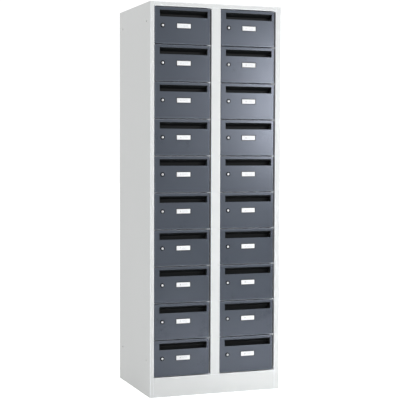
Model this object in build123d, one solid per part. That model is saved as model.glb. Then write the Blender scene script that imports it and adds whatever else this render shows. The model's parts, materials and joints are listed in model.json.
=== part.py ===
from build123d import *
import os

# Steel letter locker: two columns of lockable doors, each with a posting slot and a name card.
# X runs to the right, Y to the back and Z up. The origin is the middle of the footprint, on the floor.

# Cabinet
cabinet_width = 640.0
cabinet_depth = 500.0
cabinet_height = 1800.0
columns = ["left", "right"]
row_count = 10
sheet = 1.0

# Front frame. Each column has a narrow lip at its lock side and a wide one at its hinge side.
lock_lip = 18.5
hinge_lip = 25.5
top_rim = 20.0
plinth_height = 91.0
frame_depth = 23.0
stop_flange = 10.0

# Folded edges behind the front
rear_flange = 15.0
foot_flange = 20.0
shelf_flange = 12.5

# Holes that bolt one cabinet to the next
coupling_hole_radius = 4.0
coupling_from_front = 60.0
coupling_from_back = 55.0
coupling_from_floor = 164.0
coupling_from_top = 85.0

# Doors
door_gap = 4.0
lock_side_gap = 3.0
hinge_side_gap = 7.5
door_recess = 3.0
door_fold = 16.0

# Posting slot and the guard behind it
slot_height = 30.0
slot_inset = 45.0
slot_below_top = 12.75
guard_overlap = 4.0
guard_lip = 8.0
guard_roof_depth = 32.0
guard_roof_fall = 16.5
guard_depth = 40.0
guard_fall = 58.5

# Hinges: pins in lugs on the frame, and bushes in the doors' folded edges
pivot_inset = 7.0
pivot_depth = 9.0
pin_radius = 2.5
pin_seat_gap = 0.02
pin_running_gap = 0.05
lug_thickness = 2.0
lug_half_width = 6.0
bush_wall = 1.45
bush_depth = 6.0
bush_rim = 1.5
bush_seat_gap = 0.05
hinge_play = 0.3
pin_overshoot = 1.0

# Name card and its holder
window_width = 66.0
window_height = 20.5
holder_border = 2.5
holder_thickness = 1.5
card_edge = 1.2
card_thickness = 0.4
card_gap = 0.1

# Cam lock
lock_inset = 40.5
lock_body_radius = 8.0
lock_head_rim = 2.0
lock_head_thickness = 2.5
lock_hole_gap = 0.2
plug_radius = 5.5
plug_head_radius = 7.0
plug_head_thickness = 1.2
plug_running_gap = 0.05
key_slot_width = 1.8
key_slot_height = 7.0
key_slot_depth = 12.0
nut_width = 24.0
nut_thickness = 4.0
nut_gap = 0.05
cam_gap = 1.0
cam_thickness = 2.5
cam_width = 13.0
cam_boss_radius = 9.0
cam_hook = 5.5
tenon_width = 6.4
tenon_gap = 0.05
screw_radius = 2.0
screw_head_radius = 4.5
screw_head_thickness = 3.0
screw_length = 8.0
screw_gap = 0.05

# Rubber bumpers that the doors close on
bumper_radius = 4.0
bumper_gap = 0.3
bumper_from_end = 27.0

# Planes of the cabinet
side_x = cabinet_width / 2
front_y = -cabinet_depth / 2
back_y = cabinet_depth / 2
frame_back_y = front_y + frame_depth
stop_y = frame_back_y - sheet
panel_y = back_y - 2 * sheet
roof_z = cabinet_height - sheet
opening_top = cabinet_height - top_rim
opening_bottom = plinth_height

# One column, measured from its own left edge
column_width = cabinet_width / len(columns)
column_left = {name: i * column_width - side_x for i, name in enumerate(columns)}
opening_left = lock_lip
opening_right = column_width - hinge_lip
door_left = opening_left + lock_side_gap
door_right = opening_right - hinge_side_gap

# Rows, from the top down: the doors' middles, and the middles of the gaps around them
door_height = (opening_top - opening_bottom - (row_count + 1) * door_gap) / row_count
door_half = door_height / 2
row_pitch = door_height + door_gap
door_centres = [opening_top - door_gap - door_half - row * row_pitch for row in range(row_count)]
gap_centres = [opening_top - door_gap / 2 - row * row_pitch for row in range(row_count + 1)]

# One door, measured from its column's left edge and its own middle height
door_front_y = front_y + door_recess
door_inner_y = door_front_y + sheet
door_back_y = door_front_y + door_fold
pivot_x = door_right - pivot_inset
pivot_y = door_front_y + pivot_depth
slot_left = slot_inset
slot_right = column_width - slot_inset
slot_top = door_half - slot_below_top
slot_bottom = slot_top - slot_height
guard_y = door_inner_y + guard_depth
card_x = column_width / 2
bush_radius = pin_radius + pin_running_gap + bush_wall
bush_rim_thickness = (door_gap - lug_thickness) / 2 - hinge_play

# One lock, on its own axis
lock_x = opening_left + lock_inset
lock_head_radius = lock_body_radius + lock_head_rim
lock_front_y = door_front_y - lock_head_thickness
cam_front_y = frame_back_y + cam_gap
cam_back_y = cam_front_y + cam_thickness
cam_length = lock_x - opening_left - stop_flange + cam_hook

# Opening angle of a door, and the quarter turn of a lock
door_swing_deg = 105.0
lock_turn_deg = 90.0


def block(x0, x1, y0, y1, z0, z1):
    """A box between two values on each axis."""
    return Pos(x0, y0, z0) * Box(x1 - x0, y1 - y0, z1 - z0, align=Align.MIN)


def standing_rod(radius, x, y, z0, z1):
    """A round bar along Z."""
    foot = (Align.CENTER, Align.CENTER, Align.MIN)
    return Pos(x, y, z0) * Cylinder(radius, z1 - z0, align=foot)


def lying_rod(radius, x, z, y0, y1):
    """A round bar along Y, from front to back."""
    return Pos(x, y0, z) * Rot(-90, 0, 0) * standing_rod(radius, 0, 0, 0, y1 - y0)


def bent_section(path):
    """The section of a bent sheet, which lies to the left of the path."""
    points = [Vector(*point) for point in path]
    runs = [(end - start).normalized() for start, end in zip(points, points[1:])]
    normals = [Vector(-run.Y, run.X) for run in runs]
    pairs = zip([normals[0]] + normals, normals + [normals[-1]])
    mitres = [(before + after) * (sheet / (1 + before.dot(after))) for before, after in pairs]
    other_side = [point + mitre for point, mitre in zip(points, mitres)]
    return make_face(Polyline(*points, *reversed(other_side), close=True))


def upright_profile(path, z0, z1):
    """A bent sheet that runs along Z, with its path in X and Y."""
    return Pos(0, 0, z0) * extrude(bent_section(path), z1 - z0)


def cross_profile(path, x0, x1):
    """A bent sheet that runs along X, with its path in Y and Z."""
    return Pos(x0, 0, 0) * extrude(Plane.YZ * bent_section(path), x1 - x0)


def tray(x0, x1, y0, y1, z1):
    """A level sheet with its four edges folded down."""
    outer = block(x0, x1, y0, y1, z1 - shelf_flange, z1)
    return outer - block(x0 + sheet, x1 - sheet, y0 + sheet, y1 - sheet, z1 - shelf_flange, z1 - sheet)


def coupling_holes(x0, x1):
    """The four holes through one side panel."""
    y_places = [front_y + coupling_from_front, back_y - coupling_from_back]
    z_places = [coupling_from_floor, cabinet_height - coupling_from_top]
    drill = Rot(0, 90, 0) * Cylinder(coupling_hole_radius, x1 - x0)
    return [Pos((x0 + x1) / 2, y, z) * drill for y in y_places for z in z_places]


def make_left_side():
    """Side wall, with the lock side's lip, return and stop flange folded at its front."""
    path = [
        (-side_x + rear_flange, back_y),
        (-side_x, back_y),
        (-side_x, front_y),
        (-side_x + lock_lip, front_y),
        (-side_x + lock_lip, stop_y),
        (-side_x + lock_lip + stop_flange, stop_y),
    ]
    return upright_profile(path, 0, roof_z) - coupling_holes(-side_x - sheet, -side_x + 2 * sheet)


def make_right_side():
    """Side wall, with the hinge side's lip and return folded at its front."""
    path = [
        (side_x - hinge_lip, frame_back_y),
        (side_x - hinge_lip, front_y),
        (side_x, front_y),
        (side_x, back_y),
        (side_x - rear_flange, back_y),
    ]
    return upright_profile(path, 0, roof_z) - coupling_holes(side_x - 2 * sheet, side_x + sheet)


def make_centre_post():
    """Post between the columns: hinge side of the left one, lock side of the right one."""
    path = [
        (-sheet / 2, frame_back_y),
        (-hinge_lip, frame_back_y),
        (-hinge_lip, front_y),
        (lock_lip, front_y),
        (lock_lip, stop_y),
        (lock_lip + stop_flange, stop_y),
    ]
    return upright_profile(path, plinth_height, opening_top)


def make_roof():
    """Top sheet over both side walls, with the rim that closes the front's top."""
    top = block(-side_x, side_x, front_y, back_y, roof_z, cabinet_height)
    path = [(front_y, cabinet_height), (front_y, opening_top), (stop_y, opening_top)]
    return top + cross_profile(path, lock_lip - side_x, side_x - hinge_lip)


def make_front_plinth():
    """Panel under the doors, with a ledge above and a foot below."""
    path = [
        (stop_y, plinth_height),
        (front_y, plinth_height),
        (front_y, 0),
        (front_y + foot_flange, 0),
    ]
    return cross_profile(path, lock_lip - side_x, side_x - hinge_lip)


def make_rear_plinth():
    """Channel that carries the base's back edge."""
    path = [
        (panel_y - foot_flange, 0),
        (panel_y, 0),
        (panel_y, plinth_height - sheet),
        (panel_y - foot_flange, plinth_height - sheet),
    ]
    return cross_profile(path, 2 * sheet - side_x, side_x - 2 * sheet)


def make_base():
    """Floor of the lowest compartments, with its ends folded down against the side walls."""
    edge = side_x - sheet
    path = [
        (edge, plinth_height - shelf_flange),
        (edge, plinth_height),
        (-edge, plinth_height),
        (-edge, plinth_height - shelf_flange),
    ]
    return Pos(0, panel_y, 0) * extrude(Plane.XZ * bent_section(path), panel_y - frame_back_y)


def make_back():
    return block(sheet - side_x, side_x - sheet, panel_y, panel_y + sheet, 0, roof_z)


def make_partition():
    """Wall between the columns, from the post's back edge to the back panel."""
    return block(-sheet / 2, sheet / 2, stop_y, panel_y, plinth_height, roof_z)


def make_shelves(name):
    """The shelves of one column, one behind each gap between two doors."""
    x0 = -side_x + sheet if name == columns[0] else sheet / 2
    x1 = side_x - sheet if name == columns[-1] else -sheet / 2
    inner_gaps = gap_centres[1:-1]
    return [tray(x0, x1, frame_back_y, panel_y, z + sheet / 2) for z in inner_gaps]


def make_lugs(name):
    """Tabs on the hinge side's return that hold the pins, one in each gap around the doors."""
    half = lug_thickness / 2
    lug = block(pivot_x, opening_right, pivot_y - lug_half_width, pivot_y + lug_half_width, -half, half)
    lug += standing_rod(lug_half_width, pivot_x, pivot_y, -half, half)
    lug -= standing_rod(pin_radius + pin_seat_gap, pivot_x, pivot_y, -half, half)
    return [Pos(column_left[name], 0, z) * lug for z in gap_centres]


def make_pins(name):
    """Hinge pins. The end ones stop short of the rim and the plinth."""
    reach = door_gap / 2 + bush_depth + pin_overshoot
    stub = door_gap / 4 + lug_thickness / 4
    pins = []
    for z in gap_centres:
        above = stub if z == gap_centres[0] else reach
        below = stub if z == gap_centres[-1] else reach
        pin = standing_rod(pin_radius, pivot_x, pivot_y, -below, above)
        pins.append(Pos(column_left[name], 0, z) * pin)
    return pins


def make_bumpers(name):
    """Rubber bumpers on the stop flange, two behind each door's free edge."""
    x = opening_left + stop_flange / 2
    bumper = lying_rod(bumper_radius, x, 0, door_back_y + bumper_gap, stop_y)
    offset_z = door_half - bumper_from_end
    places = [z + side * offset_z for z in door_centres for side in (1, -1)]
    return [Pos(column_left[name], 0, z) * bumper for z in places]


def make_door_panel():
    """Door sheet with four folded edges, its slot, and its lock and bush holes."""
    panel = block(door_left, door_right, door_front_y, door_back_y, -door_half, door_half)
    inner_half = door_half - sheet
    panel -= block(
        door_left + sheet, door_right - sheet, door_inner_y, door_back_y, -inner_half, inner_half
    )
    panel -= block(slot_left, slot_right, door_front_y, door_inner_y, slot_bottom, slot_top)
    panel -= lying_rod(lock_body_radius + lock_hole_gap, lock_x, 0, door_front_y, door_inner_y)
    bush_hole = bush_radius + bush_seat_gap
    panel -= standing_rod(bush_hole, pivot_x, pivot_y, inner_half, door_half)
    panel -= standing_rod(bush_hole, pivot_x, pivot_y, -door_half, -inner_half)
    return panel


def make_guard():
    """Sheet behind the slot that lets letters fall but keeps a hand out."""
    top = slot_top + sheet
    path = [
        (door_inner_y, top + guard_lip),
        (door_inner_y, top),
        (door_inner_y + guard_roof_depth, top - guard_roof_fall),
        (guard_y - sheet, top - guard_fall),
    ]
    return cross_profile(path, slot_left - guard_overlap, slot_right + guard_overlap)


def make_bush(side):
    """Flanged bush in the door's top edge, or its bottom edge where side is -1."""
    bush = standing_rod(bush_radius, 0, 0, -bush_depth, 0)
    bush += standing_rod(bush_radius + bush_rim, 0, 0, 0, bush_rim_thickness)
    bush -= standing_rod(pin_radius + pin_running_gap, 0, 0, -bush_depth, bush_rim_thickness)
    turned = bush if side == 1 else Rot(180, 0, 0) * bush
    return Pos(pivot_x, pivot_y, side * door_half) * turned


def make_card_holder():
    """Frame around the name card, with a pocket behind it for the card."""
    half_w = window_width / 2
    half_h = window_height / 2
    back = door_front_y
    front = back - holder_thickness
    pocket = card_edge + card_gap
    holder = block(
        -half_w - holder_border, half_w + holder_border, front, back,
        -half_h - holder_border, half_h + holder_border,
    )
    holder -= block(-half_w, half_w, front, back, -half_h, half_h)
    holder -= block(
        -half_w - pocket, half_w + pocket, back - card_thickness - 2 * card_gap, back,
        -half_h - pocket, half_h + pocket,
    )
    return Pos(card_x, 0, 0) * holder


def make_card():
    half_w = window_width / 2 + card_edge
    half_h = window_height / 2 + card_edge
    back = door_front_y - card_gap
    return Pos(card_x, 0, 0) * block(-half_w, half_w, back - card_thickness, back, -half_h, half_h)


def make_lock_housing():
    """Lock housing: a head on the door's face and a body through it."""
    rear = cam_front_y - plug_running_gap
    housing = lying_rod(lock_head_radius, lock_x, 0, lock_front_y, door_front_y)
    housing += lying_rod(lock_body_radius, lock_x, 0, door_front_y, rear)
    housing -= lying_rod(plug_radius + plug_running_gap, lock_x, 0, lock_front_y, rear)
    seat_y = lock_front_y + plug_head_thickness + plug_running_gap
    housing -= lying_rod(plug_head_radius + plug_running_gap, lock_x, 0, lock_front_y, seat_y)
    return housing


def make_lock_nut():
    """Hexagonal nut that clamps the housing from inside the door."""
    hexagon = RegularPolygon(nut_width / 2, 6, major_radius=False)
    nut = Pos(lock_x, door_inner_y + nut_thickness, 0) * extrude(Plane.XZ * hexagon, nut_thickness)
    hole = lock_body_radius + nut_gap
    return nut - lying_rod(hole, lock_x, 0, door_inner_y, door_inner_y + nut_thickness)


def make_plug():
    """Turning part of the lock, with the key slot in front and a square tenon behind."""
    plug = lying_rod(plug_head_radius, 0, 0, lock_front_y, lock_front_y + plug_head_thickness)
    plug += lying_rod(plug_radius, 0, 0, lock_front_y, cam_front_y)
    half = tenon_width / 2
    plug += block(-half, half, cam_front_y, cam_back_y - tenon_gap, -half, half)
    half_slot_w = key_slot_width / 2
    half_slot_h = key_slot_height / 2
    key_end = lock_front_y + key_slot_depth
    plug -= block(-half_slot_w, half_slot_w, lock_front_y, key_end, -half_slot_h, half_slot_h)
    plug -= lying_rod(screw_radius + screw_gap, 0, 0, cam_back_y - screw_length, cam_back_y)
    return plug


def make_cam():
    """Flat cam. It hangs straight down when unlocked, and hooks behind the stop flange after a turn."""
    cam = lying_rod(cam_boss_radius, 0, 0, cam_front_y, cam_back_y)
    cam += block(-cam_width / 2, cam_width / 2, cam_front_y, cam_back_y, -cam_length, 0)
    half = tenon_width / 2 + tenon_gap
    return cam - block(-half, half, cam_front_y, cam_back_y, -half, half)


def make_cam_screw():
    screw = lying_rod(screw_head_radius, 0, 0, cam_back_y, cam_back_y + screw_head_thickness)
    return screw + lying_rod(screw_radius, 0, 0, cam_back_y - screw_length + screw_gap, cam_back_y)


def make_door():
    """Every solid that swings with a door, apart from the lock's turning parts."""
    return [
        make_door_panel(),
        make_guard(),
        make_bush(1),
        make_bush(-1),
        make_card_holder(),
        make_card(),
        make_lock_housing(),
        make_lock_nut(),
    ]


def make_lock():
    """Every solid that turns with the key."""
    return [Pos(lock_x, 0, 0) * piece for piece in (make_plug(), make_cam(), make_cam_screw())]


def single_solids(pieces):
    """Each piece's own solids, kept apart from their neighbours'."""
    return [solid for piece in pieces for solid in piece.solids()]


def save(node, pieces):
    export_step(Compound(children=single_solids(pieces)), f"parts/{node}.step")


def save_cabinet():
    save("side_panel_left", [make_left_side()])
    save("side_panel_right", [make_right_side()])
    save("centre_post", [make_centre_post()])
    save("centre_partition", [make_partition()])
    save("roof_panel", [make_roof()])
    save("back_panel", [make_back()])
    save("base_panel", [make_base()])
    save("plinth_front", [make_front_plinth()])
    save("plinth_rear", [make_rear_plinth()])
    for name in columns:
        save(f"shelves_{name}", make_shelves(name))
        save(f"hinge_lugs_{name}", make_lugs(name))
        save(f"hinge_pins_{name}", make_pins(name))
        save(f"door_bumpers_{name}", make_bumpers(name))


def save_doors():
    door = make_door()
    lock = make_lock()
    for name in columns:
        for row, z in enumerate(door_centres, start=1):
            place = Pos(column_left[name], 0, z)
            save(f"door_{name}_{row:02d}", [place * piece for piece in door])
            save(f"lock_{name}_{row:02d}", [place * piece for piece in lock])


os.makedirs("parts", exist_ok=True)
save_cabinet()
save_doors()
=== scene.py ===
import json
import math

import bmesh
import bpy
from mathutils import Matrix, Vector


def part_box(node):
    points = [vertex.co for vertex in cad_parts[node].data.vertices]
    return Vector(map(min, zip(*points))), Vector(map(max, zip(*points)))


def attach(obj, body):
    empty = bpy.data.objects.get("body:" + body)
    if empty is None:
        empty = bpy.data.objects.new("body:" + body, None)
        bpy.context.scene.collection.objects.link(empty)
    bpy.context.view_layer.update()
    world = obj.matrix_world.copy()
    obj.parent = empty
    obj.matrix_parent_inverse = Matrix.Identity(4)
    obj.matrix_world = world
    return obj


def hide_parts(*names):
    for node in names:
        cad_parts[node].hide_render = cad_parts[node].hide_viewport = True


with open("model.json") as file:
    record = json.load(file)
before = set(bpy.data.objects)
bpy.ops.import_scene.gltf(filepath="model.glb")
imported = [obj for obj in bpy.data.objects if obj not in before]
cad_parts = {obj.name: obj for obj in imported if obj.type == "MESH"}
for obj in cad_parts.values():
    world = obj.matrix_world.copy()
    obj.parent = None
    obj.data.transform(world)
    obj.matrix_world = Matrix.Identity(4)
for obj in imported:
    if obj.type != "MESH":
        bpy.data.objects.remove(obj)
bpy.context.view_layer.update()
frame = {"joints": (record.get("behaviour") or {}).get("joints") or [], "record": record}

# Letter locker: a light grey cabinet with two columns of ten anthracite doors.
# X runs to the right, Y to the back and Z up. Sizes, and the frame's places, are in millimetres until a
# mesh is finished.
mm = 0.001
columns = ["left", "right"]
rows = range(1, 11)

sheetMetal = {
    "thickness": 1.0,
    "bend": 1.8,              # outer radius of a fold
    "bendSteps": 5,
    "bendTurn": (0.14, 0.7),  # turn between two facets of a bend, in radians
    "besideBend": 1.0,        # short flat next to a fold, which keeps the shading of a wide flat even
    "leastCorner": 0.15,
    "cutEdge": 0.15,          # chamfer along a cut edge
    "cutAngle": 50,           # degrees, past which an edge counts as cut
    "smoothAngle": 35,        # degrees, up to which shading runs on over an edge
}


def cornersOf(node):
    low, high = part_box(node)
    return low / mm, high / mm


def placeOf(joint):
    found = next(j for j in frame["joints"] if j["name"] == joint)
    return Vector(found["pos_m"]) / mm


roofLow, roofHigh = cornersOf("roof_panel")
sideLow = cornersOf("side_panel_left")[0]
plinthLow, plinthHigh = cornersOf("plinth_front")
postLow, postHigh = cornersOf("centre_post")
backLow, backHigh = cornersOf("back_panel")
baseLow, baseHigh = cornersOf("base_panel")
firstDoor, secondDoor = (cornersOf(f"door_left_{row:02d}") for row in (1, 2))

frontY, backY = roofLow.y, roofHigh.y
stopY = plinthHigh.y                         # front of the stop flanges
frameBackY = postHigh.y
openingTop, openingBottom = roofLow.z, plinthHigh.z
rowPitch = (firstDoor[0] - secondDoor[0]).z
columnPitch = (cornersOf("door_right_01")[0] - firstDoor[0]).x
doorMiddleZ = (firstDoor[0].z + firstDoor[1].z) / 2
hingeAxis = placeOf("hinge_left_01")
lockAxis = placeOf("key_turn_left_01")
topGapZ = doorMiddleZ + rowPitch / 2         # middle of the gap above the first row


def linked(name, data):
    thing = bpy.data.objects.new(name, data)
    bpy.context.scene.collection.objects.link(thing)
    return thing


def toMesh(name, work):
    mesh = bpy.data.meshes.new(name)
    work.to_mesh(mesh)
    work.free()
    return mesh


# Joins rings of points, all as long as each other. A closed skin also joins the last ring to the first.
def skin(rings, closed=False):
    work = bmesh.new()
    laid = [[work.verts.new(point) for point in ring] for ring in rings]
    nextOnes = laid[1:] + laid[:1] if closed else laid[1:]
    count = len(laid[0])
    for here, there in zip(laid, nextOnes):
        for i in range(count):
            j = (i + 1) % count
            work.faces.new((here[i], here[j], there[j], there[i]))
    if not closed:
        work.faces.new(laid[0])
        work.faces.new(laid[-1])
    bmesh.ops.recalc_face_normals(work, faces=work.faces)
    return toMesh("skin", work)


def joined(meshes):
    work = bmesh.new()
    for mesh in meshes:
        work.from_mesh(mesh)
    return toMesh("joined", work)


def moved(mesh, offset):
    copy = mesh.copy()
    copy.transform(Matrix.Translation(offset))
    return copy


def evaluated(thing):
    graph = bpy.context.evaluated_depsgraph_get()
    return bpy.data.meshes.new_from_object(
        thing.evaluated_get(graph), preserve_all_data_layers=True, depsgraph=graph
    )


# A mesh with holes cut through it, and with its sharp edges dulled by a small chamfer.
def worked(mesh, cutters=(), edge=sheetMetal["cutEdge"]):
    blank = linked("blank", mesh)
    tools = [linked("cutter", cutter) for cutter in cutters]
    for tool in tools:
        hole = blank.modifiers.new("hole", "BOOLEAN")
        hole.operation = "DIFFERENCE"
        hole.solver = "EXACT"
        hole.object = tool
    if edge:
        dulled = blank.modifiers.new("dulledEdges", "BEVEL")
        dulled.width = edge
        dulled.segments = 1
        dulled.limit_method = "ANGLE"
        dulled.angle_limit = math.radians(sheetMetal["cutAngle"])
    result = evaluated(blank)
    for thing in [blank, *tools]:
        bpy.data.objects.remove(thing)
    return result


def block(low, high):
    (x0, y0, z0), (x1, y1, z1) = low, high
    return skin([[(x, y0, z0), (x, y1, z0), (x, y1, z1), (x, y0, z1)] for x in (x0, x1)])


# Marks outward folds, where a lighter painted highlight is laid along the bend.
def markFolds(mesh):
    least, most = sheetMetal["bendTurn"]
    work = bmesh.new()
    work.from_mesh(mesh)
    fold = work.verts.layers.float.new("fold")
    for edge in work.edges:
        if len(edge.link_faces) == 2 and least < edge.calc_face_angle_signed() < most:
            for vertex in edge.verts:
                vertex[fold] = 1.0
    work.to_mesh(mesh)
    work.free()
    return mesh


# Lays a flat map over the mesh, in millimetres from the axis it was turned about.
def markTurning(mesh, axis):
    turning = mesh.uv_layers.new(name="turning")
    for loop, at in zip(mesh.loops, turning.data):
        point = mesh.vertices[loop.vertex_index].co
        at.uv = (point.x - axis.x, point.z - axis.z)


# Brings a mesh to metres, shades it, and lets it ride on its body.
def finishedPiece(name, mesh, materials, body, stoodFor=()):
    mesh = mesh.copy()
    mesh.name = name
    mesh.transform(Matrix.Scale(mm, 4))
    for place, material in enumerate(materials):
        if place < len(mesh.materials):
            mesh.materials[place] = material
        else:
            mesh.materials.append(material)
    mesh.shade_smooth()
    mesh.set_sharp_from_angle(angle=math.radians(sheetMetal["smoothAngle"]))
    piece = linked(name, mesh)
    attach(piece, body)
    if stoodFor:
        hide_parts(*stoodFor)


# Points round a centre, from a start angle through a turn.
def arc(centre, radius, start, turn, steps):
    points = []
    for step in range(steps + 1):
        angle = start + turn * step / steps
        points.append((centre[0] + radius * math.cos(angle), centre[1] + radius * math.sin(angle)))
    return points


def circle(centre, radius, steps):
    return arc(centre, radius, 0, math.tau, steps)[:-1]


def leftOf(run):
    return Vector((-run.y, run.x))


# Places along the face of a folded sheet, each with the way through the sheet, which lies to the left.
def foldedPath(points):
    points = [Vector(point) for point in points]
    runs = [(end - start).normalized() for start, end in zip(points, points[1:])]
    places = [(points[0], leftOf(runs[0]))]
    for point, before, after in zip(points[1:], runs, runs[1:]):
        turn = math.atan2(before.cross(after), before.dot(after))
        side = math.copysign(1, turn)
        radius = sheetMetal["bend"] - (0 if turn > 0 else sheetMetal["thickness"])
        tangent = radius * math.tan(abs(turn) / 2)
        centre = point - before * tangent + leftOf(before) * radius * side
        places.append((point - before * (tangent + sheetMetal["besideBend"]), leftOf(before)))
        for step in range(sheetMetal["bendSteps"] + 1):
            through = leftOf(before)
            through.rotate(Matrix.Rotation(turn * step / sheetMetal["bendSteps"], 2))
            places.append((centre - through * radius * side, through))
        places.append((point + after * (tangent + sheetMetal["besideBend"]), leftOf(after)))
    places.append((points[-1], leftOf(runs[-1])))
    return places


def upright(point, level):
    return point.x, point.y, level


def crosswise(point, level):
    return level, point.x, point.y


def lengthwise(point, level):
    return point.x, level, point.y


# A sheet folded along its path and running from start to end, placed by one of the three above.
def bentSheet(path, start, end, place):
    flat = sheetMetal["besideBend"]
    levels = [start, start + flat, end - flat, end]
    rings = []
    for point, through in foldedPath(path):
        other = point + through * sheetMetal["thickness"]
        face = [place(point, level) for level in levels]
        rings.append(face + [place(other, level) for level in reversed(levels)])
    return skin(rings)


# A rectangle with round corners. beside adds a point on each straight run, this far from its corners.
def roundedOutline(low, high, inset, radius, steps=4, beside=0.0):
    radius = max(radius - inset, sheetMetal["leastCorner"])
    reach = inset + radius
    points = []
    for quarter, (right, upper) in enumerate([(True, True), (False, True), (False, False), (True, False)]):
        middleX = high[0] - reach if right else low[0] + reach
        middleY = high[1] - reach if upper else low[1] + reach
        turn = Matrix.Rotation(math.radians(90 * quarter), 2)
        corner = arc((0, 0), radius, 0, math.pi / 2, steps)
        if beside:
            corner = [(radius, -beside), *corner, (-beside, radius)]
        for point in corner:
            placed = turn @ Vector(point)
            points.append((middleX + placed.x, middleY + placed.y))
    return points


# A flat face with four folded edges. place takes two values across the face and one behind it.
def foldedPan(low, high, fold, place, cornerRadius):
    bend, thickness = sheetMetal["bend"], sheetMetal["thickness"]
    flat = bend + sheetMetal["besideBend"]
    outer, inner = (
        arc((bend, bend), radius, -math.pi / 2, -math.pi / 2, sheetMetal["bendSteps"])
        for radius in (bend, bend - thickness)
    )
    stations = [(flat, 0), *outer, (0, flat), (0, fold)]
    stations += [(thickness, fold), (thickness, flat), *reversed(inner), (flat, thickness)]
    rings = []
    for inset, behind in stations:
        outline = roundedOutline(low, high, inset, cornerRadius, beside=sheetMetal["besideBend"])
        rings.append([place(across, along, behind) for across, along in outline])
    return skin(rings)


def ringOf(radius, depth, centre, steps, standing=False):
    if standing:
        return [(x, y, depth) for x, y in circle(centre.xy, radius, steps)]
    return [(x, depth, z) for x, z in circle(centre.xz, radius, steps)]


# A profile of (radius, depth) pairs, turned about an axis that stands up or lies along Y.
def turnedPart(profile, centre, steps=32, closed=False, standing=False):
    return skin([ringOf(radius, depth, centre, steps, standing) for radius, depth in profile], closed)


def addNode(tree, kind, inputs=None, **settings):
    node = tree.nodes.new(kind)
    for key, value in settings.items():
        setattr(node, key, value)
    for key, value in (inputs or {}).items():
        if isinstance(value, bpy.types.NodeSocket):
            tree.links.new(value, node.inputs[key])
        else:
            node.inputs[key].default_value = value
    return node


def maths(tree, operation, first, second=0.0):
    return addNode(tree, "ShaderNodeMath", {0: first, 1: second}, operation=operation).outputs[0]


def plus(tree, first, second):
    return maths(tree, "ADD", first, second)


def less(tree, first, second):
    return maths(tree, "SUBTRACT", first, second)


def times(tree, first, second):
    return maths(tree, "MULTIPLY", first, second)


def vectorOf(tree, x=0.0, y=0.0, z=0.0):
    return addNode(tree, "ShaderNodeCombineXYZ", {"X": x, "Y": y, "Z": z}).outputs[0]


def onObject(tree):
    return addNode(tree, "ShaderNodeTexCoord").outputs["Object"]


def noise(tree, scale, detail, roughness=0.5):
    inputs = {"Vector": onObject(tree), "Scale": scale, "Detail": detail, "Roughness": roughness}
    return addNode(tree, "ShaderNodeTexNoise", inputs).outputs["Fac"]


def mixValues(tree, factor, first, second):
    inputs = {"Factor": factor, "A": first, "B": second}
    return addNode(tree, "ShaderNodeMix", inputs, data_type="FLOAT").outputs["Result"]


def mixColours(tree, factor, first, second):
    inputs = {"Factor": factor, 6: first, 7: second}
    return addNode(tree, "ShaderNodeMix", inputs, data_type="RGBA").outputs[2]


def ramp(tree, factor, dark, light, start=0.0, end=1.0):
    node = addNode(tree, "ShaderNodeValToRGB", {"Fac": factor})
    for element, place, colour in zip(node.color_ramp.elements, (start, end), (dark, light)):
        element.position = place
        element.color = colour
    return node.outputs["Color"]


def remap(tree, value, start, end, low, high, clamp=True):
    inputs = {"Value": value, "From Min": start, "From Max": end, "To Min": low, "To Max": high}
    return addNode(tree, "ShaderNodeMapRange", inputs, clamp=clamp).outputs["Result"]


# Takes the middle part of a noise, where nearly all of it lies, to the range from low to high.
def spreadOut(tree, value, low, high, clamp=True):
    return remap(tree, value, 0.3, 0.7, low, high, clamp)


socketKinds = {float: "NodeSocketFloat", tuple: "NodeSocketColor"}


def newGroup(name, inputs, outputs):
    group = bpy.data.node_groups.new(name, "ShaderNodeTree")
    for label, value in inputs.items():
        socket = group.interface.new_socket(label, in_out="INPUT", socket_type=socketKinds[type(value)])
        socket.default_value = value
    for label, kind in outputs.items():
        group.interface.new_socket(label, in_out="OUTPUT", socket_type=kind)
    return group, addNode(group, "NodeGroupInput").outputs


# Fine skin of a coat or a moulding: cloudy tone, orange peel and grain.
def makeSurfaceGrain():
    group, given = newGroup(
        "surfaceGrain",
        {
            "Tone A": (0.5, 0.5, 0.5, 1.0),
            "Tone B": (0.6, 0.6, 0.6, 1.0),
            "Cloud Scale": 3.0,
            "Peel Scale": 500.0,
            "Grain Scale": 2200.0,
            "Grain Share": 0.4,      # of the texture; the rest is peel
            "Cloud Share": 0.7,      # of the tone
            "Texture Share": 0.3,
            "Low Roughness": 0.4,
            "High Roughness": 0.5,
        },
        {"Colour": "NodeSocketColor", "Roughness": "NodeSocketFloat", "Height": "NodeSocketFloat"},
    )
    cloud, peel, grain = (
        noise(group, given[label], detail, roughness=0.55)
        for label, detail in (("Cloud Scale", 3.0), ("Peel Scale", 1.0), ("Grain Scale", 1.0))
    )
    texture = mixValues(group, given["Grain Share"], peel, grain)
    clouded = times(group, cloud, given["Cloud Share"])
    tone = plus(group, clouded, times(group, texture, given["Texture Share"]))
    share = spreadOut(group, tone, 0.0, 1.0, clamp=False)
    colour = mixColours(group, share, given["Tone A"], given["Tone B"])
    rough = spreadOut(group, tone, given["Low Roughness"], given["High Roughness"], clamp=False)
    addNode(group, "NodeGroupOutput", {"Colour": colour, "Roughness": rough, "Height": texture})
    return group
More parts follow.
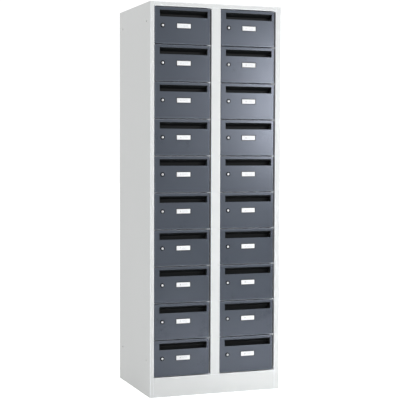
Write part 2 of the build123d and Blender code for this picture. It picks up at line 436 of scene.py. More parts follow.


# Painted highlight: a lighter, glossier line along outward folds, broken up a little.
def makeFoldLine():
    group, given = newGroup(
        "foldHighlight",
        {
            "Colour": (0.5, 0.5, 0.5, 1.0),
            "Fold Highlight Colour": (0.7, 0.7, 0.7, 1.0),
            "Roughness": 0.4,
            "Strength": 0.5,
            "Break Scale": 90.0,
            "Gloss Gain": 0.12,
        },
        {"Colour": "NodeSocketColor", "Roughness": "NodeSocketFloat"},
    )
    fold = addNode(group, "ShaderNodeAttribute", attribute_name="fold").outputs["Fac"]
    broken = remap(group, noise(group, given["Break Scale"], 3.0), 0.3, 0.6, 0.55, 1.0)
    share = times(group, times(group, fold, broken), given["Strength"])
    colour = mixColours(group, share, given["Colour"], given["Fold Highlight Colour"])
    rough = less(group, given["Roughness"], times(group, share, given["Gloss Gain"]))
    addNode(group, "NodeGroupOutput", {"Colour": colour, "Roughness": rough})
    return group


surfaceGrain = makeSurfaceGrain()
foldHighlight = makeFoldLine()


# An empty material with its shader. Constants go straight on the shader's own sockets.
def newMaterial(name, **constants):
    material = bpy.data.materials.new(name)
    material.use_nodes = True
    shader = material.node_tree.nodes["Principled BSDF"]
    for label, value in constants.items():
        shader.inputs[label.replace("_", " ")].default_value = value
    return material, material.node_tree, shader


def feed(tree, shader, colour, roughness, height, bump):
    inputs = {"Height": height, "Distance": bump, "Strength": 1.0}
    normal = addNode(tree, "ShaderNodeBump", inputs).outputs["Normal"]
    for label, socket in (("Base Color", colour), ("Roughness", roughness), ("Normal", normal)):
        tree.links.new(socket, shader.inputs[label])


# The grain's values for one finish: its two tones, the scales of its pattern and its range of roughness.
def finish(toneA, toneB, clouds, roughness, peel=500.0, grain=2200.0):
    return {
        "Tone A": (*toneA, 1.0),
        "Tone B": (*toneB, 1.0),
        "Cloud Scale": clouds,
        "Peel Scale": peel,
        "Grain Scale": grain,
        "Low Roughness": roughness[0],
        "High Roughness": roughness[1],
    }


def makeGrained(name, values, bump, **constants):
    material, tree, shader = newMaterial(name, **constants)
    grain = addNode(tree, "ShaderNodeGroup", values, node_tree=surfaceGrain).outputs
    feed(tree, shader, grain["Colour"], grain["Roughness"], grain["Height"], bump)
    return material


# Painted sheet: the grain, then a painted highlight line along its folds.
def makePainted(name, values, foldHighlightColour, foldHighlightStrength, bump, **constants):
    material = makeGrained(name, values, bump, **constants)
    tree = material.node_tree
    shader = tree.nodes["Principled BSDF"]
    grain = shader.inputs["Base Color"].links[0].from_node
    values = {"Fold Highlight Colour": foldHighlightColour, "Strength": foldHighlightStrength}
    folds = addNode(tree, "ShaderNodeGroup", values, node_tree=foldHighlight)
    for label, target in (("Colour", "Base Color"), ("Roughness", "Roughness")):
        tree.links.new(grain.outputs[label], folds.inputs[label])
        tree.links.new(folds.outputs[label], shader.inputs[target])
    return material


# The fold colours below are painted highlights, lighter than each paint's own tone.
cabinetPaint = makePainted(
    "cabinetPaint",
    finish((0.575, 0.585, 0.580), (0.605, 0.615, 0.610), clouds=2.5, roughness=(0.42, 0.52)),
    foldHighlightColour=(0.80, 0.82, 0.85, 1.0), foldHighlightStrength=0.8, bump=0.00004,
)

doorPaint = makePainted(
    "doorPaint",
    finish((0.022, 0.029, 0.040), (0.029, 0.037, 0.048), clouds=4.0, roughness=(0.26, 0.32)),
    foldHighlightColour=(0.16, 0.18, 0.22, 1.0), foldHighlightStrength=0.6, bump=0.00003,
    Specular_IOR_Level=0.81, Specular_Tint=(0.80, 0.84, 0.97, 1.0),
)

# Painted shade: the guard is the doors' anthracite, laid near black so that the slots read as shaded.
guardShadedPaint = makePainted(
    "guardShadedPaint",
    finish((0.004, 0.005, 0.006), (0.007, 0.008, 0.009), clouds=5.0, roughness=(0.55, 0.7)),
    foldHighlightColour=(0.03, 0.032, 0.036, 1.0), foldHighlightStrength=0.4, bump=0.00004,
    Specular_IOR_Level=0.3,
)

holderPlastic = makeGrained(
    "holderPlastic",
    finish((0.004, 0.004, 0.005), (0.007, 0.007, 0.009), clouds=30.0, roughness=(0.42, 0.55), peel=900.0),
    bump=0.00002, Specular_IOR_Level=0.25,
)

bumperRubber = makeGrained(
    "bumperRubber",
    finish((0.016, 0.016, 0.016), (0.040, 0.039, 0.037), clouds=120.0, roughness=(0.65, 0.85), peel=1200.0),
    bump=0.00005,
)

bushNylon = makeGrained(
    "bushNylon",
    finish((0.70, 0.69, 0.64), (0.78, 0.77, 0.73), clouds=150.0, roughness=(0.35, 0.5), peel=1500.0),
    bump=0.00001,
)

cardPaper = makeGrained(
    "cardPaper",
    finish(
        (0.76, 0.765, 0.775), (0.82, 0.825, 0.83),
        clouds=60.0, roughness=(0.7, 0.85), peel=1400.0, grain=5000.0,
    ),
    bump=0.00001,
)

cardInk = makeGrained(
    "cardInk",
    finish((0.19, 0.20, 0.22), (0.27, 0.28, 0.30), clouds=900.0, roughness=(0.6, 0.75), peel=2500.0),
    bump=0.000005,
)

zinc = {
    "dark": (0.56, 0.57, 0.58, 1.0),
    "light": (0.78, 0.78, 0.76, 1.0),
    "roughness": (0.28, 0.48),
    "patchScale": 650.0,
    "scuffScale": 1800.0,
    "scuffShare": 0.6,
    "bump": 0.00003,
}


# Zinc plating: soft crystal patches that differ in tone and gloss.
def makeZinc():
    material, tree, shader = newMaterial("zincPlate", Metallic=1.0)
    inputs = {"Vector": onObject(tree), "Scale": zinc["patchScale"]}
    patches = addNode(tree, "ShaderNodeTexVoronoi", inputs, feature="SMOOTH_F1").outputs["Distance"]
    scuffs = times(tree, noise(tree, zinc["scuffScale"], 3.0), zinc["scuffShare"])
    blended = plus(tree, patches, scuffs)
    rough = remap(tree, blended, 0.0, 1.0, *zinc["roughness"])
    colour = ramp(tree, blended, zinc["dark"], zinc["light"])
    feed(tree, shader, colour, rough, blended, zinc["bump"])
    return material


nickel = {
    "ringTurn": 16.0,    # radians for each millimetre from the axis
    "ringShare": 0.12,
    "markScale": 1500.0,
    "bump": 0.00002,
}


# Nickel plate on a turned part: fine rings about its own axis, and hairline scratches.
def makeNickel(name, dark, light, roughness, metal):
    material, tree, shader = newMaterial(name, Metallic=metal)
    turning = addNode(tree, "ShaderNodeUVMap", uv_map="turning").outputs["UV"]
    fromAxis = addNode(tree, "ShaderNodeVectorMath", {0: turning}, operation="LENGTH").outputs["Value"]
    rings = maths(tree, "SINE", times(tree, fromAxis, nickel["ringTurn"]))
    mixed = plus(tree, times(tree, rings, nickel["ringShare"]), noise(tree, nickel["markScale"], 4.0))
    colour = ramp(tree, mixed, dark, light, start=0.3, end=0.7)
    feed(tree, shader, colour, spreadOut(tree, mixed, *roughness), mixed, nickel["bump"])
    return material


zincPlate = makeZinc()
brightNickel = makeNickel(
    "brightNickel", (0.60, 0.60, 0.62, 1.0), (0.80, 0.80, 0.81, 1.0), roughness=(0.28, 0.42), metal=0.5
)
# Painted shade: a near-black copy of the nickel, for the dark ring of shade round the bright plug face.
shadedNickel = makeNickel(
    "shadedNickel", (0.002, 0.002, 0.003, 1.0), (0.007, 0.007, 0.008, 1.0), roughness=(0.35, 0.5), metal=1.0
)
print("materials made")


cabinet = {
    "stopFlange": 10.0,
    "rearFlange": 15.0,
    "footFlange": 20.0,
    "shelfFold": 12.5,
    "shelfCorner": 2.4,
}


# A folded sheet as long as its node: along Z upright, along X crosswise and along Y lengthwise.
def cabinetSheet(name, node, path, place, cutters=()):
    axis = {upright: 2, crosswise: 0, lengthwise: 1}[place]
    low, high = cornersOf(node)
    mesh = markFolds(worked(bentSheet(path, low[axis], high[axis], place), cutters))
    finishedPiece(name, mesh, [cabinetPaint], "cabinet", [node])


# The four bolt holes of a side wall, from the record's own pattern.
def couplingHoles(mountName):
    mount = next(m for m in frame["record"]["mounts"] if m["name"] == mountName)
    centre, sizes = Vector(mount["pos_m"]) / mm, mount["dims"]
    through = 5.0
    cutters = []
    for y in (-0.5, 0.5):
        for z in (-0.5, 0.5):
            hole = centre + Vector((0, y * sizes["spacing_x_mm"], z * sizes["spacing_y_mm"]))
            around = circle(hole.yz, sizes["hole_r_mm"], 32)
            ends = (hole.x - through, hole.x + through)
            cutters.append(skin([[(x, *point) for point in around] for x in ends]))
    return cutters


def makeSidePanels():
    outerX, rear = -sideLow.x, cabinet["rearFlange"]
    lockEdge, hingeEdge = plinthLow.x, plinthHigh.x
    leftPath = [
        (rear - outerX, backY), (-outerX, backY), (-outerX, frontY),
        (lockEdge, frontY), (lockEdge, stopY), (lockEdge + cabinet["stopFlange"], stopY),
    ]
    rightPath = [
        (hingeEdge, frameBackY), (hingeEdge, frontY), (outerX, frontY),
        (outerX, backY), (outerX - rear, backY),
    ]
    for side, path in (("left", leftPath), ("right", rightPath)):
        holes = couplingHoles(f"coupling_holes_{side}")
        cabinetSheet(f"sidePanel{side.title()}", f"side_panel_{side}", path, upright, holes)


def makeCentrePost():
    lockEdge = postHigh.x - cabinet["stopFlange"]
    path = [
        (-sheetMetal["thickness"] / 2, frameBackY), (postLow.x, frameBackY), (postLow.x, frontY),
        (lockEdge, frontY), (lockEdge, stopY), (postHigh.x, stopY),
    ]
    cabinetSheet("centrePost", "centre_post", path, upright)


# The rim is cut away at both ends, where it would meet the side walls' lips.
def makeRoof():
    path = [(backY, roofHigh.z), (frontY, roofHigh.z), (frontY, openingTop), (stopY, openingTop)]
    under = roofHigh.z - sheetMetal["thickness"]
    clear = 2.0
    ends = [(roofLow.x - clear, plinthLow.x), (plinthHigh.x, roofHigh.x + clear)]
    low, high = (frontY - clear, openingTop - clear), (stopY + clear, under)
    cutters = [block((x0, *low), (x1, *high)) for x0, x1 in ends]
    cabinetSheet("roofPanel", "roof_panel", path, crosswise, cutters)


def makeFloorSheets():
    frontPath = [
        (stopY, openingBottom), (frontY, openingBottom), (frontY, 0), (frontY + cabinet["footFlange"], 0),
    ]
    cabinetSheet("plinthFront", "plinth_front", frontPath, crosswise)
    low, high = cornersOf("plinth_rear")
    rearPath = [(low.y, low.z), (high.y, low.z), (high.y, high.z), (low.y, high.z)]
    cabinetSheet("plinthRear", "plinth_rear", rearPath, crosswise)
    basePath = [
        (baseHigh.x, baseLow.z), (baseHigh.x, baseHigh.z), (baseLow.x, baseHigh.z), (baseLow.x, baseLow.z),
    ]
    cabinetSheet("basePanel", "base_panel", basePath, lengthwise)


def makeFlatSheets():
    backPath = [(backHigh.x, backHigh.y), (backLow.x, backHigh.y)]
    cabinetSheet("backPanel", "back_panel", backPath, upright)
    low, high = cornersOf("centre_partition")
    partPath = [(high.x, low.y), (high.x, high.y)]
    cabinetSheet("centrePartition", "centre_partition", partPath, upright)


makeSidePanels()
makeCentrePost()
makeRoof()
makeFloorSheets()
makeFlatSheets()
print("cabinet sheets made")


def newTree(name, sizes, seed=None):
    tree = bpy.data.node_groups.new(name, "GeometryNodeTree")
    if seed:
        tree.interface.new_socket(seed, in_out="INPUT", socket_type="NodeSocketGeometry")
    for label, value in sizes.items():
        kind = "NodeSocketInt" if isinstance(value, int) else "NodeSocketFloat"
        tree.interface.new_socket(label, in_out="INPUT", socket_type=kind)
    tree.interface.new_socket("Material", in_out="INPUT", socket_type="NodeSocketMaterial")
    tree.interface.new_socket("Geometry", in_out="OUTPUT", socket_type="NodeSocketGeometry")
    return tree, addNode(tree, "NodeGroupInput").outputs


# Points in a line, a given step apart.
def line(tree, count, start, step):
    inputs = {"Count": count, "Start Location": start, "Offset": step}
    return addNode(tree, "GeometryNodeMeshLine", inputs, mode="OFFSET").outputs["Mesh"]


def downColumn(tree, given, *start):
    step = vectorOf(tree, z=times(tree, given["Row Pitch"], -1.0))
    return line(tree, given["Rows"], vectorOf(tree, *start), step)


def together(tree, shapes):
    join = addNode(tree, "GeometryNodeJoinGeometry")
    for shape in shapes:
        tree.links.new(shape, join.inputs["Geometry"])
    return join.outputs[0]


# The tightest skin round all the shapes.
def hull(tree, *shapes):
    return addNode(tree, "GeometryNodeConvexHull", {"Geometry": together(tree, shapes)}).outputs[0]


def shifted(tree, shape, **by):
    inputs = {"Geometry": shape, "Translation": vectorOf(tree, **by)}
    return addNode(tree, "GeometryNodeTransform", inputs).outputs[0]


def onPoints(tree, points, shape, **more):
    inputs = {"Points": points, "Instance": shape, **more}
    return addNode(tree, "GeometryNodeInstanceOnPoints", inputs).outputs["Instances"]


# Repeats a shape in every column, makes it real and gives it its material.
def closeTree(tree, given, shape):
    across = line(tree, given["Columns"], vectorOf(tree), vectorOf(tree, x=given["Column Pitch"]))
    everywhere = onPoints(tree, across, shape)
    real = addNode(tree, "GeometryNodeRealizeInstances", {"Geometry": everywhere}).outputs[0]
    coated = addNode(tree, "GeometryNodeSetMaterial", {"Geometry": real, "Material": given["Material"]})
    addNode(tree, "NodeGroupOutput", {"Geometry": coated.outputs[0]})


# Runs a tree once with its sizes and keeps what it makes as a plain mesh.
def grown(tree, sizes, material, start=None):
    blank = linked("blank", start or bpy.data.meshes.new("blank"))
    maker = blank.modifiers.new(tree.name, "NODES")
    maker.node_group = tree
    for item in tree.interface.items_tree:
        if item.in_out == "INPUT" and item.socket_type != "NodeSocketGeometry":
            maker[item.identifier] = material if item.name == "Material" else sizes[item.name]
    mesh = evaluated(blank)
    bpy.data.objects.remove(blank)
    return mesh


# A long thin bar and a short full one, along Z. Their hull is a round bar with chamfered ends.
def chamferedBar(tree, radius, length, chamfer, facets):
    thin, short = less(tree, radius, chamfer), less(tree, length, times(tree, chamfer, 2.0))
    bars = []
    for across, along in ((thin, length), (radius, short)):
        inputs = {"Vertices": facets, "Radius": across, "Depth": along}
        bars.append(addNode(tree, "GeometryNodeMeshCylinder", inputs).outputs["Mesh"])
    return together(tree, bars)


# A piece on the cabinet that stands for a node in each column.
def onBothSides(name, mesh, material, node):
    finishedPiece(name, mesh, [material], "cabinet", [f"{node}_{side}" for side in columns])


grid = {"Row Pitch": rowPitch, "Columns": len(columns), "Column Pitch": columnPitch}

hinges = {
    **grid,
    "Rows": 11,
    "Top": topGapZ,
    "Axis X": hingeAxis.x,
    "Axis Y": hingeAxis.y,
    "Lug Radius": 6.0,
    "Lug Thickness": 2.0,
    "Lug Reach": plinthHigh.x - columnPitch - hingeAxis.x,
    "Tongue Short": 0.5,    # the tongue ends this far inside the root
    "Tongue Plate": 0.02,
    "Root Start": 6.4,
    "Root Width": 12.6,
    "Root Thickness": 3.8,
    "Chamfer": 0.3,
    "Pin Radius": 2.5,
    "Pin Reach": 9.0,
    "Pin Stub": 1.5,
}


# Lug: a tongue with a round end that takes the pin, and a thicker root at the frame.
def makeLugs():
    tree, given = newTree("hingeLugs", hinges)
    reach, radius, thickness = given["Lug Reach"], given["Lug Radius"], given["Lug Thickness"]
    cut = times(tree, given["Chamfer"], 2.0)

    def cuboid(middle, sides):
        shape = addNode(tree, "GeometryNodeMeshCube", {"Size": vectorOf(tree, *sides)}).outputs["Mesh"]
        return shifted(tree, shape, x=middle)

    disc = chamferedBar(tree, radius, thickness, given["Chamfer"], facets=24)
    width = times(tree, radius, 2.0)
    end = less(tree, reach, given["Tongue Short"])
    plates = [
        cuboid(end, (given["Tongue Plate"], wide, high))
        for wide, high in ((width, less(tree, thickness, cut)), (less(tree, width, cut), thickness))
    ]
    length = less(tree, reach, given["Root Start"])
    middle = plus(tree, given["Root Start"], times(tree, length, 0.5))
    sides = (length, given["Root Width"], given["Root Thickness"])
    cores = [
        cuboid(middle, [side if i == full else less(tree, side, cut) for i, side in enumerate(sides)])
        for full in range(3)
    ]
    lug = together(tree, [hull(tree, disc, *plates), hull(tree, *cores)])
    points = downColumn(tree, given, given["Axis X"], given["Axis Y"], given["Top"])
    closeTree(tree, given, onPoints(tree, points, lug))
    mesh = markFolds(grown(tree, hinges, cabinetPaint))
    onBothSides("hingeLugs", mesh, cabinetPaint, "hinge_lugs")


# Pins: full ones between doors, and ones cut short at the rim and at the plinth.
def makePins():
    tree, given = newTree("hingePins", hinges)
    length = times(tree, given["Pin Reach"], 2.0)
    pin = hull(tree, chamferedBar(tree, given["Pin Radius"], length, given["Chamfer"], facets=20))
    index = addNode(tree, "GeometryNodeInputIndex").outputs[0]

    def reachUnless(end):
        atEnd = addNode(tree, "ShaderNodeMath", {0: index, 1: end, 2: 0.5}, operation="COMPARE").outputs[0]
        return mixValues(tree, atEnd, given["Pin Reach"], given["Pin Stub"])

    above, below = reachUnless(0.0), reachUnless(less(tree, given["Rows"], 1.0))
    shift = vectorOf(tree, z=times(tree, less(tree, above, below), 0.5))
    stretch = maths(tree, "DIVIDE", plus(tree, above, below), length)
    column = downColumn(tree, given, given["Axis X"], given["Axis Y"], given["Top"])
    points = addNode(tree, "GeometryNodeSetPosition", {"Geometry": column, "Offset": shift}).outputs[0]
    closeTree(tree, given, onPoints(tree, points, pin, Scale=vectorOf(tree, 1.0, 1.0, stretch)))
    onBothSides("hingePins", grown(tree, hinges, zincPlate), zincPlate, "hinge_pins")


bumperLow, bumperHigh = cornersOf("door_bumpers_left")
bumpers = {
    **grid,
    "Rows": 10,
    "Top": doorMiddleZ,
    "Across": (bumperLow.x + bumperHigh.x) / 2,
    "Seat": bumperHigh.y,
    "Radius": (bumperHigh.x - bumperLow.x) / 2,
    "Height": bumperHigh.y - bumperLow.y,
    "Spread": 2 * (bumperHigh.z - doorMiddleZ) - (bumperHigh.x - bumperLow.x),
}


# Bumpers: low domes, two behind the free edge of every door. Tiers are shares of radius and height.
def makeBumpers():
    tree, given = newTree("doorBumpers", bumpers)
    tiers = []
    for width, rise in ((1.0, 0.0), (1.0, 0.55), (0.88, 0.82), (0.62, 0.96), (0.3, 1.0)):
        inputs = {"Vertices": 20, "Radius": times(tree, given["Radius"], width)}
        disc = addNode(tree, "GeometryNodeMeshCircle", inputs, fill_type="NGON").outputs[0]
        tiers.append(shifted(tree, disc, z=times(tree, given["Height"], rise)))
    dome = {"Geometry": hull(tree, *tiers), "Rotation": (math.pi / 2, 0, 0)}
    bumper = addNode(tree, "GeometryNodeTransform", dome).outputs[0]
    half = times(tree, given["Spread"], 0.5)
    twoPoints = line(tree, 2, vectorOf(tree, z=half), vectorOf(tree, z=times(tree, half, -2.0)))
    pair = onPoints(tree, twoPoints, bumper)
    points = downColumn(tree, given, given["Across"], given["Seat"], given["Top"])
    closeTree(tree, given, onPoints(tree, points, pair))
    mesh = grown(tree, bumpers, bumperRubber)
    onBothSides("doorBumpers", mesh, bumperRubber, "door_bumpers")


shelfLow, shelfHigh = cornersOf("shelves_left")
shelves = {**grid, "Rows": 9, "Column Pitch": (cornersOf("shelves_right")[0] - shelfLow).x}


# Shelves: one folded tray, repeated down each column.
def makeShelves():
    def level(across, along, behind):
        return across, along, shelfHigh.z - behind

    tray = worked(foldedPan(shelfLow.xy, shelfHigh.xy, cabinet["shelfFold"], level, cabinet["shelfCorner"]))
    tree, given = newTree("shelves", shelves, seed="Tray")
    closeTree(tree, given, onPoints(tree, downColumn(tree, given), given["Tray"]))
    mesh = markFolds(grown(tree, shelves, cabinetPaint, tray))
    onBothSides("shelves", mesh, cabinetPaint, "shelves")


makeLugs()
makePins()
makeBumpers()
makeShelves()
print("lugs, pins, bumpers and shelves made")


door = {
    "recess": 3.0,      # the face lies this far behind the cabinet's front
    "gap": 4.0,         # between one door and the next
    "fold": 16.0,
    "cornerRadius": 2.4,
    "cutter": 4.0,      # how far a cutter reaches to each side of the sheet
}
slotSizes = {"fromSide": 23.5, "fromTop": 12.75, "width": 230.0, "height": 30.0, "cornerRadius": 1.0}
guard = {
    "overlap": 4.0,     # to each side of the slot
    "profile": ((0.0, -8.0), (0.0, 0.0), (32.0, 16.5), (39.0, 58.5)),  # depth, and fall from the slot's top
}

faceY = frontY + door["recess"]
innerY = faceY + sheetMetal["thickness"]
doorHalf = (rowPitch - door["gap"]) / 2
doorLeft, doorRight = firstDoor[0].x, firstDoor[1].x
slotTop = doorHalf - slotSizes["fromTop"]
slotLow = (doorLeft + slotSizes["fromSide"], doorMiddleZ + slotTop - slotSizes["height"])
slotHigh = (slotLow[0] + slotSizes["width"], doorMiddleZ + slotTop)


def facing(across, along, behind):
    return across, faceY + behind, along


def prism(outline, y0, y1):
    return skin([[(x, y, z) for x, z in outline] for y in (y0, y1)])


# A round cutter through a sheet.
def drill(radius, depth, centre, standing=False):
    ends = [(radius, depth - door["cutter"]), (radius, depth + door["cutter"])]
    return turnedPart(ends, centre, standing=standing)


def makeDoorPanel():
    low = (doorLeft, doorMiddleZ - doorHalf)
    high = (doorRight, doorMiddleZ + doorHalf)
    outline = roundedOutline(slotLow, slotHigh, 0, slotSizes["cornerRadius"])
    opening = prism(outline, faceY - door["cutter"], faceY + door["cutter"])
    lockHole = drill(lock["bodyRadius"] + lock["clearance"], faceY, lockAxis)
    bushRadius = bush["radius"] + bush["clearance"]
    bushHoles = [drill(bushRadius, z, hingeAxis, standing=True) for z in (low[1], high[1])]
    pan = foldedPan(low, high, door["fold"], facing, door["cornerRadius"])
    return markFolds(worked(pan, [opening, lockHole, *bushHoles]))


def makeGuard():
    top = slotHigh[1] + sheetMetal["thickness"]
    path = [(innerY + depth, top - fall) for depth, fall in guard["profile"]]
    over = guard["overlap"]
    return markFolds(worked(bentSheet(path, slotLow[0] - over, slotHigh[0] + over, crosswise)))


bush = {
    "radius": 4.0,
    "bore": 2.55,
    "depth": 6.0,
    "rimRadius": 5.5,
    "rim": 0.7,
    "chamfer": 0.2,
    "clearance": 0.05,
}


# Flanged bushes in the door's upper and lower folds.
def makeBushes():
    bore, radius, flange = bush["bore"], bush["radius"], bush["rimRadius"]
    depth, rim, cut = bush["depth"], bush["rim"], bush["chamfer"]
    profile = [
        (bore, -depth), (radius - cut, -depth), (radius, cut - depth), (radius, 0), (flange, 0),
        (flange, rim - cut), (flange - cut, rim), (bore + cut, rim), (bore, rim - cut),
    ]
    meshes = []
    for side in (1, -1):
        placed = [(across, doorMiddleZ + side * (doorHalf + out)) for across, out in profile]
        meshes.append(turnedPart(placed, hingeAxis, steps=24, closed=True, standing=True))
    return joined(meshes)


card = {
    "fromPitch": 21.5,    # the card's middle, left of the middle between two columns' doors
    "width": 66.0,
    "height": 20.5,
    "corner": 0.8,
    "edge": (0.15, 0.1),
    "border": 2.5,
    "holder": 1.5,
    "holderCorner": 2.8,
    "holderFace": ((0.0, 0.6), (0.25, 0.2), (0.7, 0.0), (1.5, 0.0), (2.3, 0.35), (2.5, 0.6)),
    "tucked": 1.2,
    "thickness": 0.4,
    "play": 0.1,
    "ink": 0.03,
    "numberSize": 9.8,
    "numberLeft": 14.0,   # middle of the number, left of the card's middle
    "lineWidth": 0.6,
    "lineLength": 28.0,
    "lineGap": 5.0,
    "lineLeft": 7.0,
}
cardMiddle = Vector((doorLeft + columnPitch / 2 - card["fromPitch"], 0, doorMiddleZ))


def aroundCard(grow):
    half = Vector((card["width"] / 2 + grow, card["height"] / 2 + grow))
    return cardMiddle.xz - half, cardMiddle.xz + half


# Outlines of a rectangle with round corners, one for each pair of inset and depth.
def ringsAround(low, high, corner, stations):
    return [[(x, y, z) for x, z in roundedOutline(low, high, inset, corner)] for inset, y in stations]


# Holder: a moulded frame whose face slopes in to the window, with a pocket behind for the card.
# holderFace goes from the outside in, as pairs of inset and depth behind the front.
def makeHolder():
    low, high = aroundCard(card["border"])
    border, tucked = card["border"], card["tucked"] + card["play"]
    front, pocket = faceY - card["holder"], faceY - card["thickness"] - 2 * card["play"]
    stations = [(0.0, faceY), *[(inset, front + behind) for inset, behind in card["holderFace"]]]
    stations += [(border, pocket), (border - tucked, pocket), (border - tucked, faceY)]
    return skin(ringsAround(low, high, card["holderCorner"], stations), closed=True)


# Card with a printed number and two ruled lines, as thin as ink.
def makeCard(number):
    low, high = aroundCard(card["tucked"])
    back = faceY - card["play"]
    front = back - card["thickness"]
    inset, depth = card["edge"]
    stations = [(inset, back), (0.0, back - depth), (0.0, front + depth), (inset, front)]
    paper = skin(ringsAround(low, high, card["corner"], stations))
    ink = card["ink"]
    marks = []
    for rise in (-0.5, 0.5):
        z = cardMiddle.z + rise * card["lineGap"]
        x = cardMiddle.x - card["lineLeft"]
        marks.append(block((x, front - ink, z), (x + card["lineLength"], front, z + card["lineWidth"])))
    text = bpy.data.curves.new("number", "FONT")
    text.body = str(number)
    text.size = card["numberSize"]
    text.align_x = text.align_y = "CENTER"
    text.resolution_u = 3
    text.extrude = ink / 2
    writing = linked("number", text)
    digits = evaluated(writing)
    bpy.data.objects.remove(writing)
    place = Matrix.Translation((cardMiddle.x - card["numberLeft"], front - ink / 2, cardMiddle.z))
    digits.transform(place @ Matrix.Rotation(math.pi / 2, 4, "X"))
    whole = joined([paper, *marks, digits])
    for face in whole.polygons:
        face.material_index = 0 if face.index < len(paper.polygons) else 1
    return whole


lock = {
    "bodyRadius": 8.0,
    "headRadius": 10.0,
    "head": 2.5,
    "plugRadius": 5.5,
    "plugHeadRadius": 7.0,
    "plugFace": 5.2,     # bright part of the plug's head, inside a bezel laid near black as painted shade
    "plugRim": ((-0.35, 0.0), (0.0, 0.2), (0.15, 0.35)),  # past the bright face, and depth behind the front
    "plugBezel": ((-0.35, 0.2), (0.0, 0.5)),              # past the head's radius, and depth
    "plugHead": 1.2,
    "plugChamfer": 0.3,
    "seatChamfer": 0.25,
    "running": 0.05,
    "clearance": 0.2,    # round the body, where it goes through the door
    "dome": ((1.3, 0.0), (0.55, 0.25), (0.12, 0.8), (0.0, 1.5)),  # inset, and depth behind the front
    "keySlot": (1.8, 7.0, 12.0),
    "keyCorner": 0.6,
    "keyFunnel": 0.35,
    "funnelCorner": 0.9,
    "funnelDepth": 0.4,
    "nutWidth": 24.0,
    "nut": 4.0,
    "nutCorner": 0.1,
    "nutSlope": 0.8,
    "thread": 1.0,
    "threadDepth": 0.45,
    "threadCrest": 0.1,
    "bodyChamfer": 0.5,
    "camGap": 1.0,
    "cam": 2.5,
    "camWidth": 13.0,
    "camBoss": 9.0,
    "camLength": 36.0,
    "camTip": 3.0,
    "camEdge": 0.3,
    "tenon": 6.4,
    "screwHead": 4.5,
    "screwHeight": 3.0,
    "screwSlit": (0.5, 2.4),
    "slitFloor": 0.35,   # share of the screw's height
    "screwDome": ((1.0, 0.0), (1.0, 0.45), (0.93, 0.7), (0.72, 0.92), (0.4, 1.0)),  # as shares
}
lockFrontY = faceY - lock["head"]
camY = frameBackY + lock["camGap"]
camBackY = camY + lock["cam"]


# Housing: a domed head, and a threaded body through the door.
def makeHousing():
    rear = camY - lock["running"]
    bore, seat = lock["plugRadius"] + lock["running"], lock["plugHeadRadius"] + lock["running"]
    seatY = lockFrontY + lock["plugHead"] + lock["running"]
    head, body, cut = lock["headRadius"], lock["bodyRadius"], lock["seatChamfer"]
    profile = [
        (bore, rear), (bore, seatY), (seat, seatY), (seat, lockFrontY + cut), (seat + cut, lockFrontY),
        *[(head - inset, lockFrontY + behind) for inset, behind in lock["dome"]],
        (head, faceY), (body, faceY),
    ]
    pitch, depth, end = lock["thread"], lock["threadDepth"], lock["bodyChamfer"]
    threads = int((rear - innerY - 2 * end) / pitch)
    for turn in range(threads):
        y = innerY + turn * pitch
        profile += [(body, y + lock["threadCrest"]), (body - depth, y + pitch / 2)]
    profile += [(body, rear - end), (body - end, rear)]
    return turnedPart(profile, lockAxis, closed=True)


# Hexagonal nut with its corners turned down.
def makeNut():
    flat = lock["nutWidth"] / 2
    hole = lock["bodyRadius"] + lock["running"]
    steps = 48

    def hexRing(y, limit):
        points = []
        for step in range(steps):
            angle = math.tau * step / steps
            fromFlat = (angle % (math.pi / 3)) - math.pi / 6
            radius = min(flat / math.cos(fromFlat), limit)
            points.append((lockAxis.x + radius * math.cos(angle), y, lockAxis.z + radius * math.sin(angle)))
        return points

    y0, y1 = innerY, innerY + lock["nut"]
    wide, turnedDown, slope = flat * 2, flat + lock["nutCorner"], lock["nutSlope"]
    rings = [
        ringOf(hole, y0, lockAxis, steps), hexRing(y0, turnedDown), hexRing(y0 + slope, wide),
        hexRing(y1 - slope, wide), hexRing(y1, turnedDown), ringOf(hole, y1, lockAxis, steps),
    ]
    return skin(rings, closed=True)


# A block centred on the lock's axis.
def aroundLock(halfWidth, halfHeight, y0, y1):
    low = (lockAxis.x - halfWidth, y0, lockAxis.z - halfHeight)
    return block(low, (lockAxis.x + halfWidth, y1, lockAxis.z + halfHeight))


# Plug: the part that the key turns. Its second material is the bezel, nickel laid near black as painted
# shade.
def makePlug():
    radius, head, face = lock["plugRadius"], lock["plugHeadRadius"], lock["plugFace"]
    shoulder, cut = lock["plugHead"], lock["plugChamfer"]
    front = [(face + past, behind) for past, behind in lock["plugRim"]]
    front += [(head + past, behind) for past, behind in lock["plugBezel"]]
    front += [(head, shoulder), (radius, shoulder)]
    profile = [(across, lockFrontY + behind) for across, behind in front]
    profile += [(radius, camY - cut), (radius - cut, camY)]
    width, height, depth = lock["keySlot"]
    halfSlot = Vector((width / 2, height / 2))
    outline = roundedOutline(lockAxis.xz - halfSlot, lockAxis.xz + halfSlot, 0, lock["keyCorner"])
    halfSlot += Vector((lock["keyFunnel"], lock["keyFunnel"]))
    wide = roundedOutline(lockAxis.xz - halfSlot, lockAxis.xz + halfSlot, 0, lock["funnelCorner"])
    levels = ((wide, -1.0), (wide, 0.0), (outline, lock["funnelDepth"]), (outline, depth))
    keyway = skin([[(x, lockFrontY + behind, z) for x, z in ring] for ring, behind in levels])
    plug = worked(turnedPart(profile, lockAxis, steps=40), [keyway], edge=0)
    half = lock["tenon"] / 2
    tenon = aroundLock(half, half, camY, camBackY - lock["running"])
    whole = joined([plug, worked(tenon)])
    for part in whole.polygons:
        fromAxis = (part.center.xz - lockAxis.xz).length
        ahead = part.center.y < lockFrontY + shoulder
        part.material_index = 1 if ahead and fromAxis > face - 0.1 else 0
    return whole


